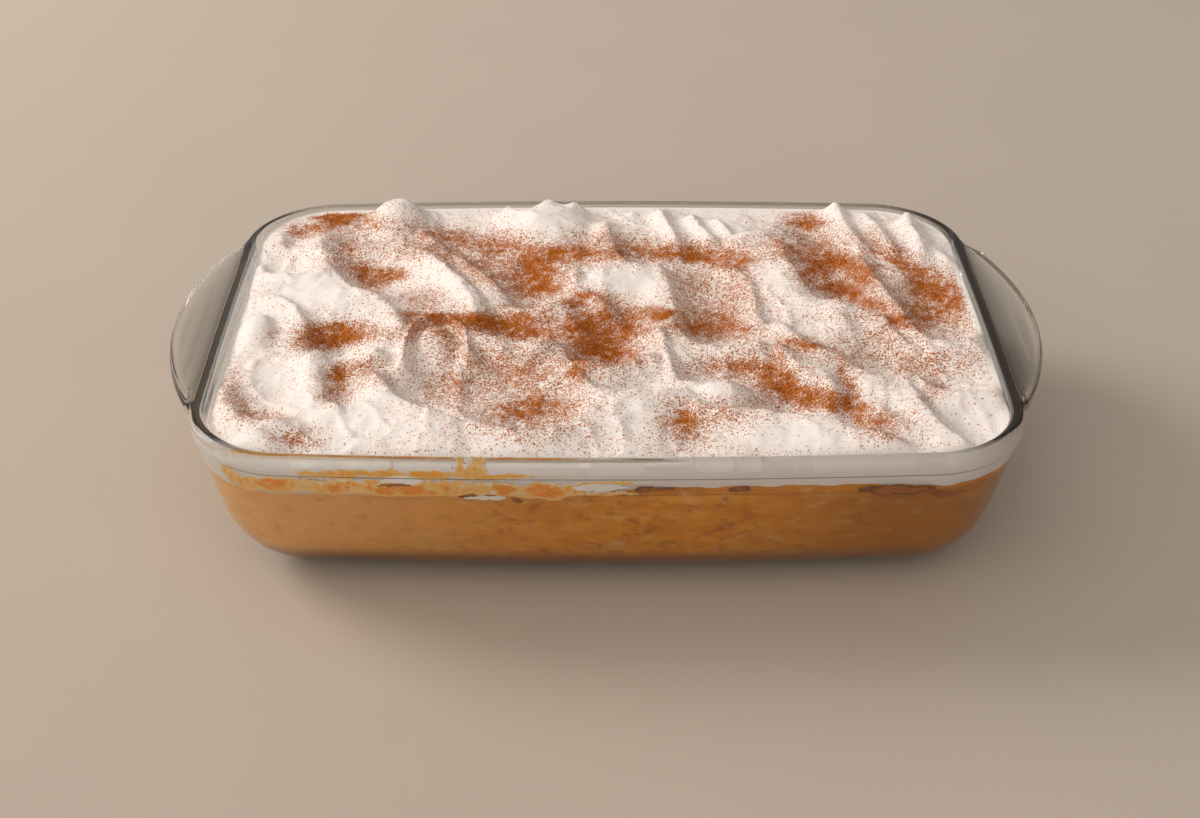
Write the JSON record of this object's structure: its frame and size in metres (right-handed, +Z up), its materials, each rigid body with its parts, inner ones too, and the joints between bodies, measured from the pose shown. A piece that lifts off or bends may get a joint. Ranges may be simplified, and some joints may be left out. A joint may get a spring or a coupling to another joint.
{
  "type": "tres leches cake",
  "caption": "Milk-soaked sponge cake in a clear glass oven dish with crescent handles, topped with spooned whipped cream dusted with cinnamon.",
  "frame": {"origin": "middle of the dish's flat base", "axes": "+Z up, X along the dish from handle to handle, Y across the dish, with the pictured side facing -Y"},
  "size_m": [0.3502, 0.2232, 0.077],
  "materials": {
    "clear_glass": "clear pressed glass, faintly green at its edges",
    "soaked_sponge": "moist tan sponge soaked in milk, with a browned top skin",
    "whipped_cream": "soft white whipped cream with dustings of ground cinnamon"
  },
  "bodies": {
    "root": {"glass_dish": "clear_glass", "sponge_cake": "soaked_sponge", "whipped_cream": "whipped_cream"}
  },
  "joints": []
}
